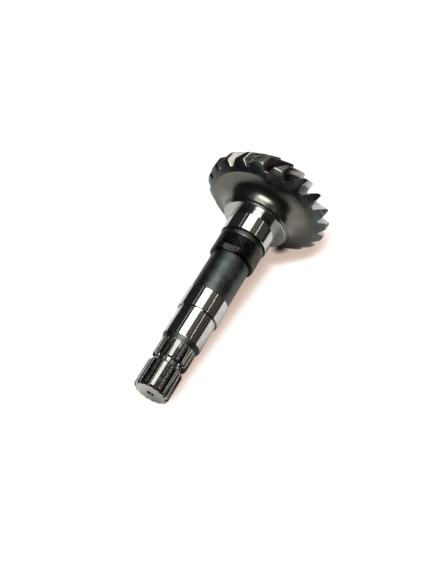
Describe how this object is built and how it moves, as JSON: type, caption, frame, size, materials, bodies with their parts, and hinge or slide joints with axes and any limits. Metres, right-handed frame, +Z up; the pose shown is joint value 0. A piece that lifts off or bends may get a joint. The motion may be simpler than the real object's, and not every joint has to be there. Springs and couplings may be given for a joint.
{
  "type": "bevel gear shaft",
  "caption": "Stepped steel drive shaft with a splined end, ground bearing journals, a locknut thread and a spiral bevel gear made in one piece with it.",
  "frame": {"origin": "bottom centre of the part's box as it lies at rest, on the surface that it lies on", "axes": "+Z up; the shaft points along +Y from its splined end to its gear and rises 11.6 degrees towards the gear; +X across"},
  "size_m": [0.1304, 0.2684, 0.1292],
  "materials": {
    "bevel_gear_shaft": "hardened and ground alloy steel, dark heat-treated body and gear with bright ground journals"
  },
  "bodies": {
    "root": {"bevel_gear_shaft": "bevel_gear_shaft"}
  },
  "joints": []
}
